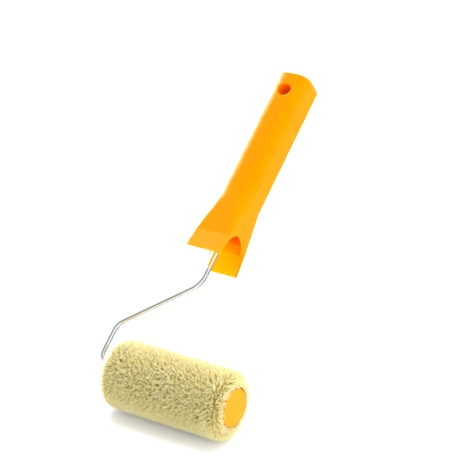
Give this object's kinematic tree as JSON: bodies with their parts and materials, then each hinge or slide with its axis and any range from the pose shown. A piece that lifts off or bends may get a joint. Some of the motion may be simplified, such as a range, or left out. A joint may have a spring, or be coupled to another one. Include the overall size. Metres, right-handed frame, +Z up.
{
  "type": "paint roller",
  "caption": "Small hand paint roller: a pile cover turning on a bent wire frame, with a hollow moulded handle that flares into a split drip skirt and has a hang hole.",
  "frame": {"origin": "on the surface being painted, at the middle of the line where the pile meets it", "axes": "+X along the roller's axis towards its free, capped end; +Z up off the surface; +Y the way the handle leans"},
  "size_m": [0.1281, 0.2496, 0.2117],
  "materials": {
    "handle_plastic": "glossy moulded polypropylene, warm yellow-orange",
    "cap_plastic": "moulded polypropylene, warm yellow-orange, satin",
    "zinc_wire": "bright zinc-plated steel wire",
    "spring_steel": "plain pressed spring steel",
    "nylon": "natural nylon",
    "core_plastic": "extruded polypropylene tube",
    "backing_weave": "woven backing, bonded to the core",
    "pile_fibre": "12 mm crimped acrylic pile, cream with olive-yellow depths"
  },
  "bodies": {
    "frame": {"handle_shell": "handle_plastic", "wire_frame": "zinc_wire", "stop_collar": "zinc_wire", "inner_washer": "nylon", "outer_washer": "nylon", "push_nut": "spring_steel"},
    "roller_cover": {"core_tube": "core_plastic", "pile_backing": "backing_weave", "pile": "pile_fibre", "inner_end_plug": "cap_plastic", "outer_bearing_plug": "nylon", "outer_end_cap": "cap_plastic"}
  },
  "joints": [
    {"name": "roller_spin", "type": "hinge", "parent": "frame", "child": "roller_cover", "pos_m": [0, 0, 0.02704], "axis": [1, 0, 0], "continuous": true}
  ]
}
